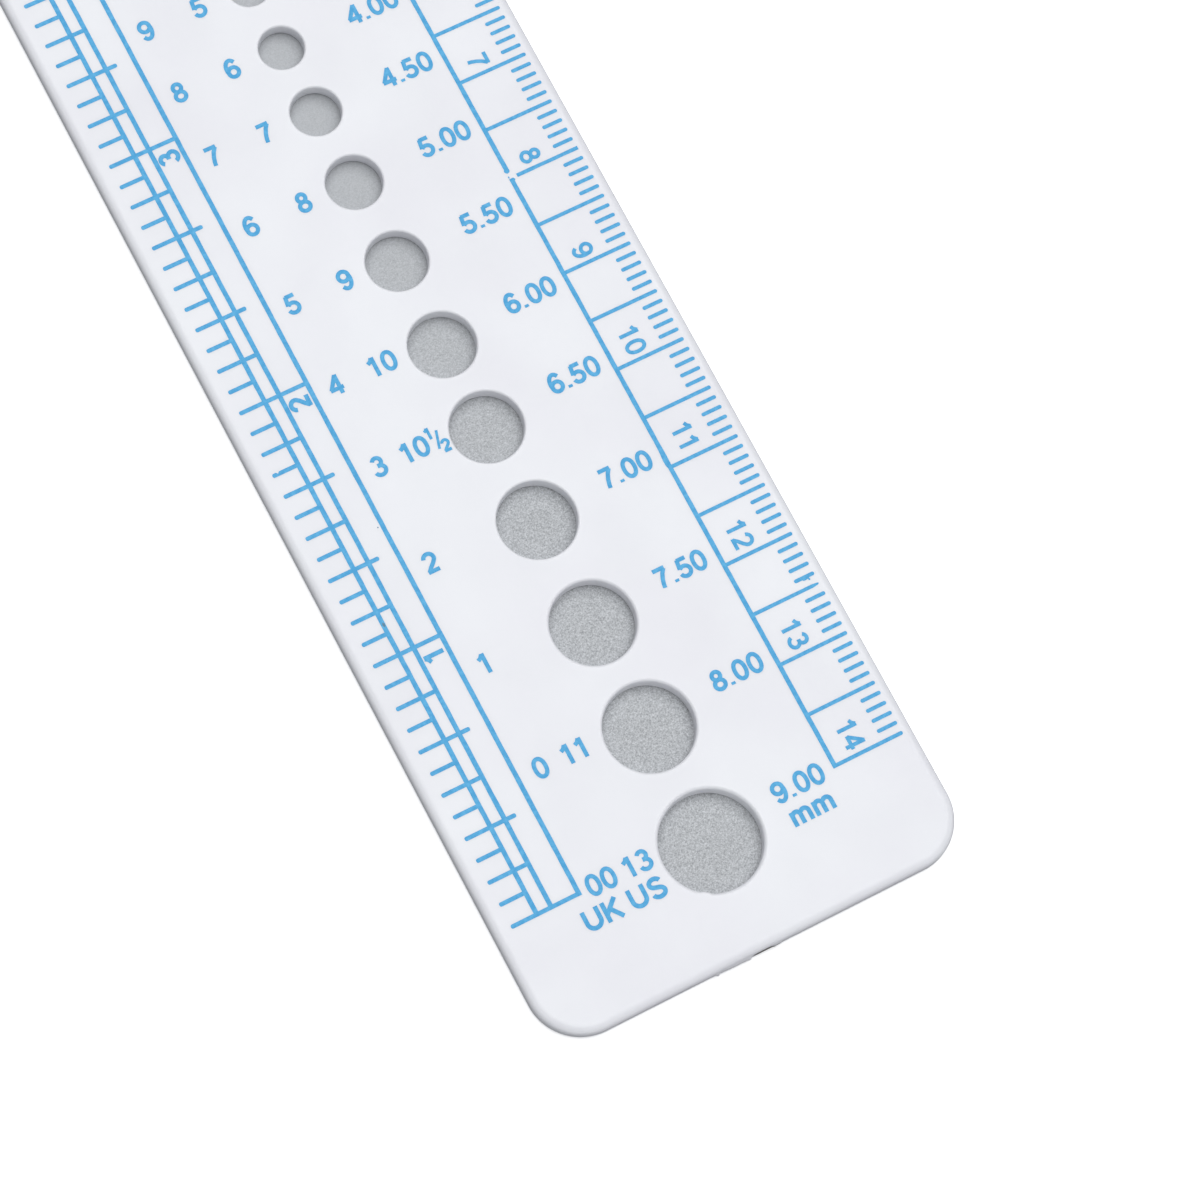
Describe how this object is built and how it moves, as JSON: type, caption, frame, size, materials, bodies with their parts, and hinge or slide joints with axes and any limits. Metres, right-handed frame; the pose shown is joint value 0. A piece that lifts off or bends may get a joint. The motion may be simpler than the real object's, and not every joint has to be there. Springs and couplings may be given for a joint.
{
  "type": "knitting needle gauge",
  "caption": "Flat white plastic plate with rounded corners and a row of graduated round holes for sizing knitting needles, with printed length scales.",
  "frame": {"origin": "middle of the underside of the plate", "axes": "+Y along the plate from the widest hole to the narrowest, +X across it towards the centimetre scale, +Z out of the printed face"},
  "size_m": [0.0406, 0.1628, 0.0015],
  "materials": {
    "plastic": "satin moulded white",
    "ink": "screen-printed light blue ink"
  },
  "bodies": {
    "root": {"gauge_plate": "plastic"}
  },
  "joints": []
}
